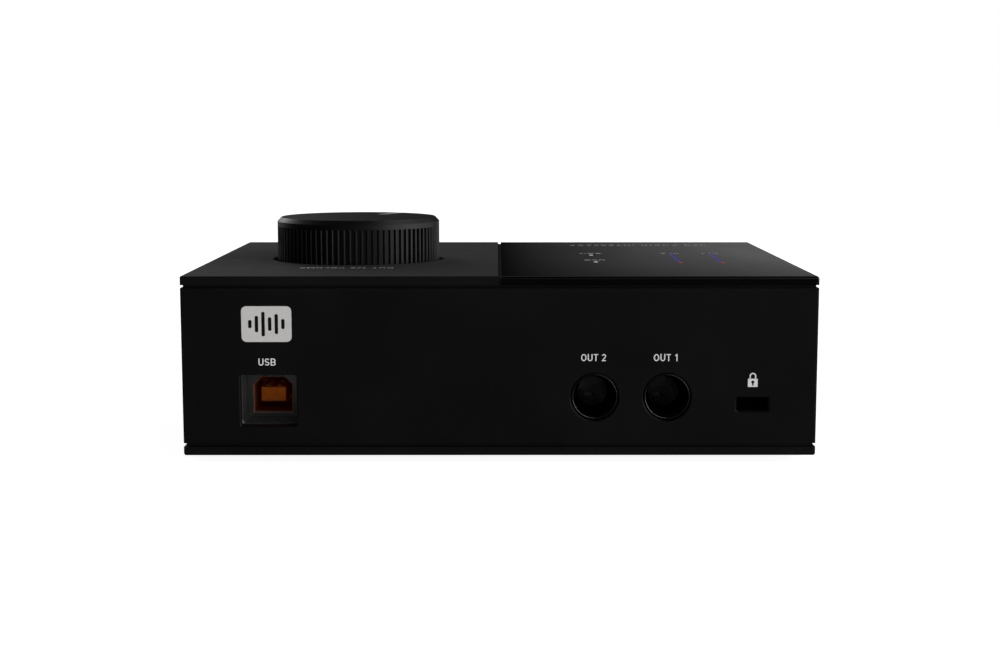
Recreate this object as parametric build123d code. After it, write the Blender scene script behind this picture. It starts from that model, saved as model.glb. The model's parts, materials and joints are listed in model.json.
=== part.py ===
from build123d import *
import math
import os

# Desktop USB audio interface: a low rectangular case clamped between a base plate and two covers, one of
# them carrying a large ribbed volume knob in a shallow well, the other a glossy panel with indicator lights.
# The rear holds a recessed USB type B port, two 6.35 mm output jacks and a lock slot. The front holds two
# combination sockets, four small knobs, four push buttons and a headphone jack.
# Frame: +X to the right and +Y to the rear for someone facing the front panel, +Z up. The origin is on the
# table, under the middle of the whole object. Millimetres.

# ---- Case ----
WIDTH = 140.0
DEPTH = 102.0
KNOB_REACH = 6.0  # how far the small knobs stand out of the front panel
REAR = (DEPTH + KNOB_REACH) / 2
FRONT = REAR - DEPTH
SIDE = WIDTH / 2
FOOT_HEIGHT = 1.84
BASE_THICK = 1.92
BASE_GROOVE = 0.84  # height of the shadow groove above the base
COVER_GROOVE = 0.68  # and below the covers
GROOVE_DEPTH = 0.62
BODY_HEIGHT = 34.48
COVER_THICK = 1.94
BASE_TOP = FOOT_HEIGHT + BASE_THICK
BODY_BOTTOM = BASE_TOP + BASE_GROOVE
BODY_TOP = BODY_BOTTOM + BODY_HEIGHT
COVER_BOTTOM = BODY_TOP + COVER_GROOVE
TOP = COVER_BOTTOM + COVER_THICK
WALL = 2.2
CORNER = 0.45  # radius of the upright corners
EDGE_MATTE = 0.25
EDGE_GLOSSY = 0.6
EDGE_BASE = 0.5
SEAM_X = -0.05
SEAM = 0.76  # width of the groove between the two covers
SEAM_DEPTH = 0.5
RIM_GAP = 0.15  # slack of the locating rims inside the housing
RIM_THICK = 1.2
RIM_DROP = 2.0

# ---- Fasteners and feet ----
POST_X = 64.4
POST_INSET = 5.6  # from the front and rear faces
POST_RADIUS = 2.9
POST_BOTTOM = 24.0
CASE_SCREW_RADIUS = 1.5
CASE_SCREW_TIP = 32.0
CASE_HEAD_RADIUS = 2.8
CASE_HEAD_HEIGHT = 1.5
SMALL_SCREW_RADIUS = 1.0
SMALL_HEAD_RADIUS = 1.9
SMALL_HEAD_HEIGHT = 1.2
SMALL_SCREW_LENGTH = 4.5
SCREW_SLACK = 0.04
FOOT_RADIUS = 6.0
FOOT_INSET = 17.0
FOOT_RECESS = 0.6

# ---- Boards ----
BOARD = 1.6
MAIN_Z = 7.0
MAIN_TOP = MAIN_Z + BOARD
TOP_BOARD_Z = 28.6
TOP_BOARD_TOP = TOP_BOARD_Z + BOARD
FRONT_BOARD_Y = FRONT + 8.4

# ---- Volume control ----
VOLUME_X, VOLUME_Y = 34.82, 5.0
VOLUME_RADIUS = 19.93
VOLUME_TOP = 52.0
VOLUME_RIBS = 87
RIB_TOP = TOP + 8.08
RIB_GROOVE = 0.72
RIB_DEPTH = 0.55
RIB_BEVEL = 0.19
RIB_START = -0.6  # turn of the first rib groove about the knob's axis
RIM_CHAMFER = 1.0
WELL_RADIUS = 21.0
WELL_DEPTH = 1.2
WELL_FLOOR = TOP - WELL_DEPTH
VOLUME_TRAVEL = 300.0
SHAFT_RADIUS = 3.0
SHAFT_SLACK = 0.08
FLAT_OFFSET = 1.5  # distance of a shaft's flat from its axis

# ---- Front panel ----
SOCKET_X = (-49.5, -8.5)
SOCKET_Z = 22.0
SOCKET_RADIUS = 12.0
SOCKET_HALF = 11.3
SOCKET_LENGTH = 34.0
SMALL_KNOB_X = (-29.0, 12.0, 31.5, 54.0)
SMALL_KNOB_Z = 30.4
SMALL_KNOB_RADIUS = 5.6
SMALL_KNOB_RIBS = 30
BUTTON_X = (-29.0, 12.0, 27.0, 36.0)
BUTTON_Z = 13.6
BUTTON_SIZE = (5.2, 3.2)
BUTTON_REACH = 1.8
PHONES_X = 54.0

# ---- Jacks and ports ----
JACK_Z = 14.97
JACK_BORE = 3.25
JACK_THROAT = 9.0  # depth at which the tapered mouth of a jack has narrowed to its bore
JACK_LENGTH = 34.0
JACK_HOLE = 5.35
OUT_JACK_X = (-36.95, -20.95)
USB_X, USB_Z = 50.98, 14.2
USB_APERTURE = (12.45, 11.4)
USB_SLEEVE = (12.3, 10.9)
USB_FRAME = (11.9, 10.5)
USB_STEP = 5.8  # depth at which the sleeve meets the frame round the port
USB_DEPTH = 9.5
USB_PORT = (9.1, 8.42)
USB_PORT_X, USB_PORT_Z = USB_X + 0.2, USB_Z - 0.14
USB_SHEET = 0.18
USB_PORT_CHAMFER = 1.9
USB_TONGUE = (5.6, 3.25)
LOCK_X, LOCK_Z = -55.81, 13.33
LOCK_SLOT = (7.0, 3.0)
LOCK_BEVEL = 0.38
MOUTH_BEVEL = 0.2
LOCK_PIN_RADIUS = 0.6
LOCK_PINS_Z = (LOCK_Z - 5.4, LOCK_Z + 5.4)

# ---- Indicator lights ----
LIGHT_SIZE = (0.9, 1.8)
METER_X, METER_REAR_Y = (-53.65, -43.55), REAR - 35.5
METER_PITCH = 5.3
STATUS_X = -23.27
STATUS_Y = (REAR - 36.9, REAR - 57.1)
LIGHT_SLACK = 0.05
LED_HEIGHT = 0.8

PCB_POST_RADIUS = 3.0
BOARD_POSTS = ((-56.0, 26.0), (-10.0, -7.0), (12.0, 26.0), (56.0, -7.0))
BASE_POSTS = ((-55.0, 8.0), (-6.0, 38.0), (36.0, 38.0), (36.0, -26.0))
CASE_POSTS = [(x, y) for x in (-POST_X, POST_X) for y in (FRONT + POST_INSET, REAR - POST_INSET)]


def block(x0, x1, y0, y1, z0, z1):
    """Box between two opposite corners."""
    return Pos((x0 + x1) / 2, (y0 + y1) / 2, (z0 + z1) / 2) * Box(x1 - x0, y1 - y0, z1 - z0)


def post(x, y, z0, z1, radius):
    """Cylinder along Z."""
    return Pos(x, y, (z0 + z1) / 2) * Cylinder(radius, z1 - z0)


def rod(x, z, y0, y1, radius):
    """Cylinder along Y."""
    return Pos(x, (y0 + y1) / 2, z) * Rot(90, 0, 0) * Cylinder(radius, y1 - y0)


def prism(x, z, y0, y1, width, height, corner=0.0):
    """Bar along Y of a rounded rectangular section."""
    outline = RectangleRounded(width, height, corner) if corner else Rectangle(width, height)
    return Pos(x, y1, z) * Rot(90, 0, 0) * extrude(outline, y1 - y0)


def at_level(part, z):
    """The edges of a part that lie flat at one height."""
    return part.edges().filter_by_position(Axis.Z, z - 0.001, z + 0.001)


def at_depth(part, y):
    """The edges of a part that lie in one plane across Y."""
    return part.edges().filter_by_position(Axis.Y, y - 0.001, y + 0.001)


def round_upright(part, radius, x_limit):
    """Rounds the upright edges that lie further out than x_limit."""
    found = [e for e in part.edges().filter_by(Axis.Z) if abs(e.center().X) > x_limit]
    return fillet(found, radius)


def save(name, *solids):
    """Writes one node: a single solid, or several separate ones."""
    export_step(solids[0] if len(solids) == 1 else Compound(list(solids)), f"parts/{name}.step")


# ---------------------------------------------------------------- case


def bottom_plate():
    """Base plate with a locating rim, board stand-offs, screw holes and shallow recesses for the feet."""
    plate = block(-SIDE, SIDE, FRONT, REAR, FOOT_HEIGHT, BASE_TOP)
    plate = round_upright(plate, CORNER, SIDE - 1)
    plate = fillet(at_level(plate, FOOT_HEIGHT), EDGE_BASE)
    inset = GROOVE_DEPTH
    plate += block(-SIDE + inset, SIDE - inset, FRONT + inset, REAR - inset, BASE_TOP, BODY_BOTTOM)
    outer = WALL + RIM_GAP
    inner = outer + RIM_THICK
    rim = block(-SIDE + outer, SIDE - outer, FRONT + outer, REAR - outer, BODY_BOTTOM, MAIN_Z - 0.4)
    rim -= block(-SIDE + inner, SIDE - inner, FRONT + inner, REAR - inner, BODY_BOTTOM, MAIN_Z)
    plate += rim
    for x, y in BASE_POSTS:
        plate += post(x, y, BASE_TOP, MAIN_Z, PCB_POST_RADIUS)
        plate -= post(x, y, FOOT_HEIGHT + 1.0, MAIN_Z, SMALL_SCREW_RADIUS + SCREW_SLACK)
    for x, y in CASE_POSTS:
        head = Pos(x, y, FOOT_HEIGHT + CASE_HEAD_HEIGHT / 2) * Cone(
            CASE_HEAD_RADIUS + SCREW_SLACK, CASE_SCREW_RADIUS + SCREW_SLACK, CASE_HEAD_HEIGHT
        )
        plate -= head + post(x, y, FOOT_HEIGHT, MAIN_Z, CASE_SCREW_RADIUS + SCREW_SLACK)
    for x, y in foot_places():
        plate -= post(x, y, FOOT_HEIGHT, FOOT_HEIGHT + FOOT_RECESS, FOOT_RADIUS + 0.1)
    return plate


def foot_places():
    xs = (-SIDE + FOOT_INSET, SIDE - FOOT_INSET)
    ys = (FRONT + FOOT_INSET, REAR - FOOT_INSET)
    return [(x, y) for x in xs for y in ys]


def rubber_feet():
    """Four glued rubber pads."""
    feet = []
    for x, y in foot_places():
        foot = post(x, y, 0, FOOT_HEIGHT + FOOT_RECESS, FOOT_RADIUS)
        feet.append(fillet(at_level(foot, 0), 0.5))
    return feet


def case_screws():
    """Four long countersunk screws that clamp the case from below."""
    screws = []
    for x, y in CASE_POSTS:
        screw = Pos(x, y, FOOT_HEIGHT + CASE_HEAD_HEIGHT / 2) * Cone(
            CASE_HEAD_RADIUS, CASE_SCREW_RADIUS, CASE_HEAD_HEIGHT
        )
        screw += post(x, y, FOOT_HEIGHT + CASE_HEAD_HEIGHT, CASE_SCREW_TIP, CASE_SCREW_RADIUS)
        for angle in (0, 90):
            slot = Pos(x, y, FOOT_HEIGHT + 0.35) * Rot(0, 0, angle) * Box(2.6, 0.6, 0.7)
            screw -= slot
        screws.append(screw)
    return screws


def housing():
    """One-piece wall of the case, open at the top and the bottom, with the panel cut-outs. Its set-back upper
    edge makes the shadow groove under the covers."""
    shell = block(-SIDE, SIDE, FRONT, REAR, BODY_BOTTOM, BODY_TOP)
    shell = round_upright(shell, CORNER, SIDE - 1)
    inset = GROOVE_DEPTH
    shell += block(-SIDE + inset, SIDE - inset, FRONT + inset, REAR - inset, BODY_TOP, COVER_BOTTOM)
    shell -= block(-SIDE + WALL, SIDE - WALL, FRONT + WALL, REAR - WALL, BODY_BOTTOM, COVER_BOTTOM)
    inner_rear = REAR - WALL
    inner_front = FRONT + WALL
    usb = prism(USB_X, USB_Z, inner_rear - 1, REAR, *USB_APERTURE, 0.3)
    lock = prism(LOCK_X, LOCK_Z, inner_rear - 1, REAR, *LOCK_SLOT, 0.3)
    cuts = usb + lock
    for x in OUT_JACK_X:
        cuts += rod(x, JACK_Z, inner_rear - 1, REAR, JACK_HOLE)
    for x in SOCKET_X:
        cuts += rod(x, SOCKET_Z, FRONT, inner_front + 1, SOCKET_RADIUS + 0.2)
    for x in SMALL_KNOB_X:
        cuts += rod(x, SMALL_KNOB_Z, FRONT, inner_front + 1, SHAFT_RADIUS + 0.4)
    for x in BUTTON_X:
        width, height = BUTTON_SIZE
        cuts += prism(x, BUTTON_Z, FRONT, inner_front + 1, width + 0.4, height + 0.4, 0.5)
    cuts += rod(PHONES_X, JACK_Z, FRONT, inner_front + 1, JACK_HOLE)
    shell -= cuts
    shell = soften_openings(shell)
    for z in LOCK_PINS_Z:
        shell += rod(LOCK_X, z, inner_rear - 1.9, inner_rear, LOCK_PIN_RADIUS)
    return shell


def is_lock_edge(edge):
    """Whether an edge in the rear face belongs to the lock slot's mouth."""
    centre = edge.center(CenterOf.BOUNDING_BOX)
    aside, above = abs(centre.X - LOCK_X), abs(centre.Z - LOCK_Z)
    return aside < LOCK_SLOT[0] / 2 + 0.1 and above < LOCK_SLOT[1] / 2 + 0.1 and centre.Y > REAR - 0.01


def soften_openings(shell):
    """Small chamfers round the mouths of the panel cut-outs, a wider one round the lock slot."""
    mouths = []
    for y in (FRONT, REAR):
        for edge in at_depth(shell, y):
            centre = edge.center(CenterOf.BOUNDING_BOX)
            near_rim = abs(centre.X) > SIDE - 2 or centre.Z > BODY_TOP - 1 or centre.Z < BODY_BOTTOM + 1
            if not near_rim and not is_lock_edge(edge):
                mouths.append(edge)
    shell = chamfer(mouths, MOUTH_BEVEL)
    return chamfer([e for e in at_depth(shell, REAR) if is_lock_edge(e)], LOCK_BEVEL)


def cover(x0, x1, edge_radius, seam_x):
    """Flat cover with a locating rim and screw posts, one long side at seam_x."""
    plate = block(x0, x1, FRONT, REAR, COVER_BOTTOM, TOP)
    plate = round_upright(plate, CORNER, SIDE - 1)
    outline = at_level(plate, TOP)
    seam_edges = [e for e in outline if abs(e.center().X - seam_x) < 0.01]
    plate = fillet([e for e in outline if e not in seam_edges], edge_radius)
    sign = 1 if x1 > SIDE - 1 else -1
    outer = WALL + RIM_GAP
    inner = outer + RIM_THICK
    near = seam_x + sign * 0.2
    wide = sorted((near, sign * (SIDE - outer)))
    narrow = sorted((near - sign, sign * (SIDE - inner)))
    rim = block(*wide, FRONT + outer, REAR - outer, BODY_TOP - RIM_DROP, COVER_BOTTOM)
    rim -= block(*narrow, FRONT + inner, REAR - inner, BODY_TOP - RIM_DROP, COVER_BOTTOM)
    plate += rim
    for x, y in CASE_POSTS:
        if x * sign > 0:
            plate += post(x, y, POST_BOTTOM, COVER_BOTTOM, POST_RADIUS)
            plate -= post(x, y, POST_BOTTOM, CASE_SCREW_TIP + 0.5, CASE_SCREW_RADIUS + SCREW_SLACK)
    for x, y in BOARD_POSTS:
        if x * sign > 0:
            plate += post(x, y, TOP_BOARD_TOP, COVER_BOTTOM, PCB_POST_RADIUS)
            plate -= post(x, y, TOP_BOARD_TOP, TOP_BOARD_TOP + 4.0, SMALL_SCREW_RADIUS + SCREW_SLACK)
    return plate


def volume_cover():
    """Matte cover with the volume knob's well, and a low lip that closes the seam between the covers."""
    left, right = SEAM_X - SEAM / 2, SEAM_X + SEAM / 2
    plate = cover(right, SIDE, EDGE_MATTE, right)
    plate += block(left, right, FRONT + 0.4, REAR - 0.4, COVER_BOTTOM, TOP - SEAM_DEPTH)
    plate -= post(VOLUME_X, VOLUME_Y, WELL_FLOOR, TOP, WELL_RADIUS)
    mouth = [e for e in at_level(plate, TOP).filter_by(GeomType.CIRCLE) if e.radius > WELL_RADIUS - 1]
    plate = chamfer(mouth, 0.25)
    plate -= post(VOLUME_X, VOLUME_Y, BODY_TOP, WELL_FLOOR, 3.7)
    return plate


def display_cover():
    """Glossy cover with a narrow window for each indicator light."""
    plate = cover(-SIDE, SEAM_X - SEAM / 2, EDGE_GLOSSY, SEAM_X - SEAM / 2)
    for x, y in light_places():
        plate -= Pos(x, y, (BODY_TOP + TOP) / 2) * Box(
            LIGHT_SIZE[0] + 2 * LIGHT_SLACK, LIGHT_SIZE[1] + 2 * LIGHT_SLACK, TOP - BODY_TOP
        )
    return plate


# ---------------------------------------------------------------- indicator lights


def meter_places(x):
    """One input's five lights, from the clip light at the rear to the lowest signal light."""
    return [(x, METER_REAR_Y - i * METER_PITCH) for i in range(5)]


def status_places():
    """The USB light and the phantom power light."""
    return [(STATUS_X, y) for y in STATUS_Y]


def light_places():
    return [place for x in METER_X for place in meter_places(x)] + status_places()


def light_guides(places):
    """Clear bars that carry light from the board up to the cover's surface."""
    guides = []
    for x, y in places:
        bottom = TOP_BOARD_TOP + LED_HEIGHT + 0.2
        guide = block(
            x - LIGHT_SIZE[0] / 2, x + LIGHT_SIZE[0] / 2,
            y - LIGHT_SIZE[1] / 2, y + LIGHT_SIZE[1] / 2,
            bottom, TOP - 0.02,
        )
        collar = post(x, y, bottom + 2.0, COVER_BOTTOM, 1.6)
        guides.append(guide + collar)
    return guides


def board_leds():
    return [
        block(x - 0.8, x + 0.8, y - 0.5, y + 0.5, TOP_BOARD_TOP, TOP_BOARD_TOP + LED_HEIGHT)
        for x, y in light_places()
    ]


# ---------------------------------------------------------------- boards


def main_board():
    """Main circuit board, notched for the case screws and drilled for its own."""
    board = block(-66.0, 66.0, FRONT + 3.8, REAR - 11.0, MAIN_Z, MAIN_TOP)
    for x, y in CASE_POSTS:
        if y < 0:
            board -= post(x, y, MAIN_Z, MAIN_TOP, POST_RADIUS + 1.0)
    for x, y in BASE_POSTS:
        board -= post(x, y, MAIN_Z, MAIN_TOP, SMALL_SCREW_RADIUS + 0.15)
    return board


def top_board():
    """Upper circuit board under the covers, with the lights and the volume control."""
    board = block(-62.0, 60.0, -12.0, 31.0, TOP_BOARD_Z, TOP_BOARD_TOP)
    for x, y in BOARD_POSTS:
        board -= post(x, y, TOP_BOARD_Z, TOP_BOARD_TOP, SMALL_SCREW_RADIUS + 0.15)
    return board


def front_board():
    """Upright circuit board behind the front panel, notched round the second input socket."""
    board = block(-36.0, 61.0, FRONT_BOARD_Y, FRONT_BOARD_Y + BOARD, 23.0, 36.5)
    notch = SOCKET_HALF + 0.3
    board -= block(
        SOCKET_X[1] - notch, SOCKET_X[1] + notch,
        FRONT_BOARD_Y, FRONT_BOARD_Y + BOARD, 20.0, SOCKET_Z + notch,
    )
    return board


def screw_up(x, y, seat):
    """Small pan-head screw whose head hangs below its seat."""
    return post(x, y, seat - SMALL_HEAD_HEIGHT, seat, SMALL_HEAD_RADIUS) + post(
        x, y, seat, seat + SMALL_SCREW_LENGTH, SMALL_SCREW_RADIUS
    )


def screw_down(x, y, seat):
    """Small pan-head screw whose head stands above its seat."""
    return post(x, y, seat, seat + SMALL_HEAD_HEIGHT, SMALL_HEAD_RADIUS) + post(
        x, y, seat - SMALL_SCREW_LENGTH, seat, SMALL_SCREW_RADIUS
    )


def board_screws():
    return [screw_down(x, y, MAIN_TOP) for x, y in BASE_POSTS] + [
        screw_up(x, y, TOP_BOARD_Z) for x, y in BOARD_POSTS
    ]


RIBBON_X = 2.0
RIBBON_TOP_Y, RIBBON_LOW_Y = 20.0, 16.0
RIBBON_WIDTH = 12.0
CONNECTOR_HEIGHT = 3.0


def board_connectors():
    """The ribbon's two sockets, and the block that joins the front board to the main board."""
    half = RIBBON_WIDTH / 2 + 1.0
    left, right = RIBBON_X - half, RIBBON_X + half
    upper = block(
        left, right, RIBBON_TOP_Y - 1.6, RIBBON_TOP_Y + 1.6, TOP_BOARD_Z - CONNECTOR_HEIGHT, TOP_BOARD_Z
    )
    lower = block(
        left, right, RIBBON_LOW_Y - 1.6, RIBBON_LOW_Y + 1.6, MAIN_TOP, MAIN_TOP + CONNECTOR_HEIGHT
    )
    bridge = block(17.0, 22.0, FRONT_BOARD_Y - 2.4, FRONT_BOARD_Y, MAIN_TOP, 26.0)
    return [upper, lower, bridge]


def ribbon_cable():
    """Flat cable in a loose S between the top board and the main board."""
    top = TOP_BOARD_Z - CONNECTOR_HEIGHT
    low = MAIN_TOP + CONNECTOR_HEIGHT
    path = FilletPolyline(
        (RIBBON_X, RIBBON_TOP_Y, top),
        (RIBBON_X, RIBBON_TOP_Y, top - 4.0),
        (RIBBON_X, RIBBON_LOW_Y, low + 4.0),
        (RIBBON_X, RIBBON_LOW_Y, low),
        radius=3.0,
    )
    section = Plane(origin=path @ 0, z_dir=path % 0, x_dir=(1, 0, 0)) * Rectangle(RIBBON_WIDTH, 0.8)
    return sweep(section, path=path)


def board_chips():
    """Converter, controller, preamplifier and regulator packages."""
    places = ((-8.0, 24.0, 9.0), (22.0, 22.0, 7.0), (-30.0, -4.0, 6.0), (10.0, -8.0, 6.0), (34.0, 2.0, 5.0))
    return [
        block(x - size / 2, x + size / 2, y - size / 2, y + size / 2, MAIN_TOP, MAIN_TOP + 1.2)
        for x, y, size in places
    ]


def board_capacitors():
    """Upright electrolytic capacitors."""
    places = ((-50.0, 14.0), (-42.0, 8.0), (-24.0, 10.0), (16.0, 4.0), (24.0, 4.0), (50.0, 14.0))
    cans = []
    for x, y in places:
        can = post(x, y, MAIN_TOP, MAIN_TOP + 8.0, 3.15)
        cans.append(chamfer(at_level(can, MAIN_TOP + 8.0), 0.4))
    return cans


def boost_coil():
    """Drum coil of the phantom power supply."""
    base = (22.0, -18.0)
    coil = post(*base, MAIN_TOP, MAIN_TOP + 1.0, 4.6) + post(*base, MAIN_TOP + 1.0, MAIN_TOP + 4.2, 3.8)
    return coil + post(*base, MAIN_TOP + 4.2, MAIN_TOP + 5.2, 4.6)


# ---------------------------------------------------------------- rear ports


def port_outline(grow):
    """The USB type B outline: a square with its two upper corners cut, grown by an even margin."""
    width, height = USB_PORT[0] / 2 + grow, USB_PORT[1] / 2 + grow
    cut = USB_PORT_CHAMFER + grow * (2 - math.sqrt(2))
    return make_face(
        Polyline(
            (-width, -height), (width, -height), (width, height - cut),
            (width - cut, height), (cut - width, height), (-width, height - cut),
            close=True,
        )
    )


def port_bar(grow, y0, y1):
    """Bar along Y with the port's outline."""
    return Pos(USB_PORT_X, y1, USB_PORT_Z) * Rot(90, 0, 0) * extrude(port_outline(grow), y1 - y0)


PORT_FACE = REAR - USB_DEPTH
PORT_BACK = PORT_FACE - 16.0


def usb_surround():
    """Sleeve between the rear wall and the port, with a shadow gap at half depth, closed by a face with the
    port's outline."""
    width, height = USB_SLEEVE
    mouth, step = REAR - WALL, REAR - USB_STEP
    body = prism(USB_X, USB_Z, PORT_FACE - 1.0, mouth, width + 2.4, height + 2.4, 1.2)
    body -= prism(USB_X, USB_Z, step, mouth, width, height, 0.8)
    inner_lip = [e for e in at_depth(body, mouth) if abs(e.center().X - USB_X) < width / 2 + 0.1]
    inner_lip = [e for e in inner_lip if abs(e.center().Z - USB_Z) < height / 2 + 0.1]
    body = chamfer(inner_lip, 0.25)
    body -= prism(USB_X, USB_Z, step - 0.3, step, width + 0.2, height + 0.2, 0.8)
    body -= prism(USB_X, USB_Z, PORT_FACE, step, *USB_FRAME, 0.8)
    return body - port_bar(0.02, PORT_FACE - 1.0, PORT_FACE)


def usb_shell():
    """Folded metal sleeve of the port, standing on the board by two tabs."""
    rim = PORT_FACE + 0.2
    shell = port_bar(0.0, PORT_BACK, rim) - port_bar(-USB_SHEET, PORT_BACK, rim)
    shell = fillet(at_depth(shell, rim), USB_SHEET * 0.4)
    for side in (-1, 1):
        x = sorted((USB_PORT_X + side * USB_PORT[0] / 2, USB_PORT_X + side * (USB_PORT[0] / 2 + 0.3)))
        shell += block(*x, PORT_BACK + 6.0, PORT_BACK + 9.0, MAIN_TOP, USB_Z)
    return shell


def usb_insulator():
    """Plastic lining and tongue of the port."""
    face = PORT_FACE - 0.3
    outside, inside = -USB_SHEET - 0.02, -USB_SHEET - 0.1
    body = port_bar(outside, PORT_BACK, face) - port_bar(inside, PORT_BACK + 4.0, face)
    tongue = prism(USB_PORT_X, USB_PORT_Z, PORT_BACK + 4.0, face, *USB_TONGUE, 0.2)
    return body + chamfer(at_depth(tongue, face), 0.15)


def usb_contacts():
    """Two contacts above the tongue and two below it."""
    strips = []
    half = USB_TONGUE[1] / 2
    for x in (USB_PORT_X - 1.25, USB_PORT_X + 1.25):
        for side in (-1, 1):
            z = sorted((USB_PORT_Z + side * half, USB_PORT_Z + side * (half + 0.25)))
            strips.append(block(x - 0.5, x + 0.5, PORT_BACK + 4.0, PORT_FACE - 1.7, *z))
    return strips


def lock_bracket():
    """Steel plate with a closed pocket behind the lock slot, held on two pins of the rear wall."""
    inner = REAR - WALL
    bracket = prism(LOCK_X, LOCK_Z, inner - 1.2, inner, 9.0, 13.0, 0.8)
    bracket += prism(LOCK_X, LOCK_Z, inner - 5.6, inner - 1.2, 9.0, 9.0, 0.8)
    bracket -= prism(LOCK_X, LOCK_Z, inner - 4.8, inner - 1.2, 7.8, 7.8, 0.3)
    bracket -= prism(LOCK_X, LOCK_Z, inner - 1.2, inner, *LOCK_SLOT, 0.3)
    for z in LOCK_PINS_Z:
        bracket -= rod(LOCK_X, z, inner - 1.2, inner, LOCK_PIN_RADIUS + 0.05)
    return bracket


JACK_SPRINGS = ((-31.0, 0), (-25.0, 180), (-16.0, 0))  # start of each contact spring and its turn


def jack():
    """6.35 mm jack on the Y axis with its mouth at Y = 0, facing +Y: a rounded lip, a wide counterbore that
    tapers, and the bore."""
    lip, cone = -0.35, -5.5
    body = rod(0, 0, -WALL - 0.1, lip, JACK_HOLE - 0.3)
    body += block(-6.2, 6.2, -JACK_LENGTH, -WALL - 0.1, MAIN_TOP - JACK_Z, 6.3)
    body -= rod(0, 0, cone, lip, 4.7)
    body = fillet(at_depth(body, lip), 0.15)
    taper = Cone(JACK_BORE + 0.05, 4.7, JACK_THROAT + cone)
    body -= Pos(0, (cone - JACK_THROAT) / 2, 0) * Rot(-90, 0, 0) * taper
    body -= rod(0, 0, -JACK_LENGTH + 1.4, -JACK_THROAT, JACK_BORE)
    for y0, angle in JACK_SPRINGS:
        body -= Rot(0, angle, 0) * block(-1.1, 1.1, y0, y0 + 5.0, 2.0, 5.0)
    return body


def jack_contacts():
    """Tip, ring and sleeve springs of one jack, with their solder tabs."""
    pieces = []
    for y0, angle in JACK_SPRINGS:
        leaf = block(-0.9, 0.9, y0 + 0.3, y0 + 4.7, 3.45, 3.75)
        leaf += block(-0.9, 0.9, y0 + 0.3, y0 + 0.6, 3.45, 5.0)
        pieces.append(Rot(0, angle, 0) * leaf)
        side = 1 if angle else -1
        x = sorted((side * 6.2, side * 6.6))
        pieces.append(block(*x, y0 + 1.5, y0 + 3.5, MAIN_TOP - JACK_Z, 0.5))
    return pieces


def place_rear(x, shape):
    return Pos(x, REAR, JACK_Z) * shape


def place_front(x, shape):
    return Pos(x, FRONT, JACK_Z) * Rot(0, 0, 180) * shape


# ---------------------------------------------------------------- input sockets

PIN_CIRCLE = 5.5
PIN_ANGLES = (30, 150, 270)


def input_socket():
    """Combination socket on the Y axis with its mouth at Y = 0, facing -Y: a ring gap for the shell of a
    three-pin plug, three pin holes, and a 6.35 mm bore in the middle."""
    face = 0.3
    body = rod(0, 0, face, WALL + 0.1, SOCKET_RADIUS)
    body = chamfer(at_depth(body, face), 0.3)
    body += prism(0, 0, WALL + 0.1, SOCKET_LENGTH, 2 * SOCKET_HALF, 2 * SOCKET_HALF, 1.5)
    gap = rod(0, 0, face, 15.0, 9.7) - rod(0, 0, face, 15.0, 7.9)
    body -= gap
    body -= rod(0, 0, face, 1.2, 9.7)
    body -= block(-1.7, 1.7, face, 15.0, 9.0, 10.9)
    body += block(-1.2, 1.2, 2.0, 15.0, -8.7, -7.6)
    body -= rod(0, 0, face, SOCKET_LENGTH - 1.5, JACK_BORE)
    for angle in PIN_ANGLES:
        x, z = polar(angle)
        body -= rod(x, z, face, 18.0, 1.6)
    return body


def polar(angle):
    return PIN_CIRCLE * math.cos(math.radians(angle)), PIN_CIRCLE * math.sin(math.radians(angle))


def input_contacts():
    """Three pin sleeves and six solder tails of one combination socket."""
    pieces = []
    for angle in PIN_ANGLES:
        x, z = polar(angle)
        pieces.append(rod(x, z, 3.0, 16.0, 1.55) - rod(x, z, 3.0, 15.0, 1.22))
    for x in (-6.0, 0.0, 6.0):
        for y in (20.0, 28.0):
            pieces.append(block(x - 0.5, x + 0.5, y, y + 0.8, MAIN_TOP - SOCKET_Z, -SOCKET_HALF))
    return pieces


def place_socket(x, shape):
    return Pos(x, FRONT, SOCKET_Z) * shape


# ---------------------------------------------------------------- controls


def volume_pot():
    """Rotary control with a threaded bushing through the well floor."""
    body = post(VOLUME_X, VOLUME_Y, TOP_BOARD_TOP, BODY_TOP - 1.0, 8.4)
    body += post(VOLUME_X, VOLUME_Y, BODY_TOP - 1.0, WELL_FLOOR + 2.2, 3.55)
    return body - post(VOLUME_X, VOLUME_Y, 33.0, WELL_FLOOR + 2.2, SHAFT_RADIUS + SHAFT_SLACK)


def volume_pot_nut():
    """Flanged nut on the bushing."""
    nut = Pos(VOLUME_X, VOLUME_Y, WELL_FLOOR + 0.4) * extrude(RegularPolygon(5.8, 6), 1.6)
    nut += post(VOLUME_X, VOLUME_Y, WELL_FLOOR, WELL_FLOOR + 0.4, 6.6)
    return nut - post(VOLUME_X, VOLUME_Y, WELL_FLOOR, WELL_FLOOR + 2.2, 3.6)


def volume_shaft():
    shaft = post(VOLUME_X, VOLUME_Y, 33.3, VOLUME_TOP - 3.2, SHAFT_RADIUS)
    return shaft - flat_cut(WELL_FLOOR + 3.0, VOLUME_TOP)


def flat_cut(z0, z1):
    """The side of the volume shaft that its flat takes away."""
    return block(
        VOLUME_X - 4, VOLUME_X + 4, VOLUME_Y + FLAT_OFFSET, VOLUME_Y + 4, z0, z1
    )


KNOB_BOTTOM = WELL_FLOOR + 0.7
POINTER_TURN = -(180.0 - VOLUME_TRAVEL / 2)  # from straight to the front, clockwise seen from above
POINTER_LENGTH, POINTER_WIDTH, POINTER_DEPTH = 9.2, 1.9, 0.35


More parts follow.
